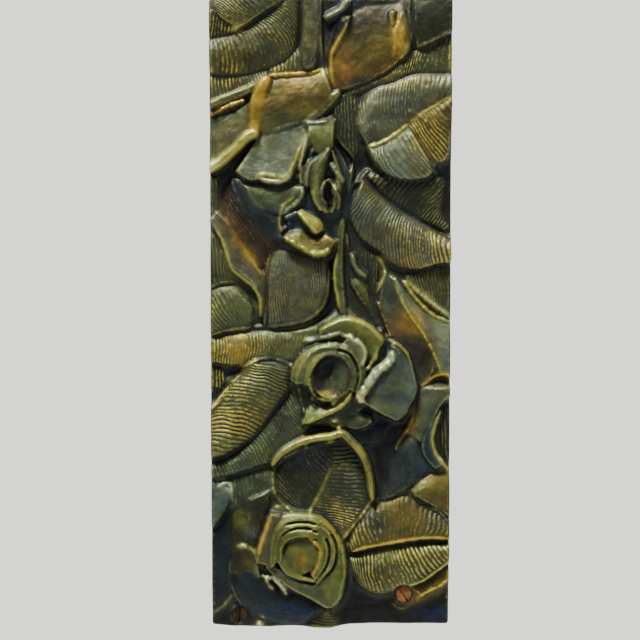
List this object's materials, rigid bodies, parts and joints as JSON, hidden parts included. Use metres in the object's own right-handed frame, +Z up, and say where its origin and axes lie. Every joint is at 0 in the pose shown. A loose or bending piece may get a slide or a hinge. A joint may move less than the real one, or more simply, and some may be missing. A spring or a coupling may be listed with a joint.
{
  "type": "relief panel",
  "caption": "Tall narrow cast bronze wall panel with a carved front of open roses, buds, ribbed leaves and stems, a flat back, and slotted screws that hold it at its foot.",
  "frame": {"origin": "middle of the flat back face", "axes": "+Z up along the panel's length, -Y out of the carved front, +Y into the wall, +X to the right seen from the front"},
  "size_m": [0.105, 0.0288, 0.277],
  "materials": {
    "patinated_bronze": "dark green-black patina with olive dust and worn golden rims",
    "copper_screw": "worn copper-orange",
    "dark_screw": "dark brown patina"
  },
  "bodies": {
    "root": {"relief_panel": "patinated_bronze", "screw_right": "copper_screw", "screw_left": "dark_screw"}
  },
  "joints": []
}
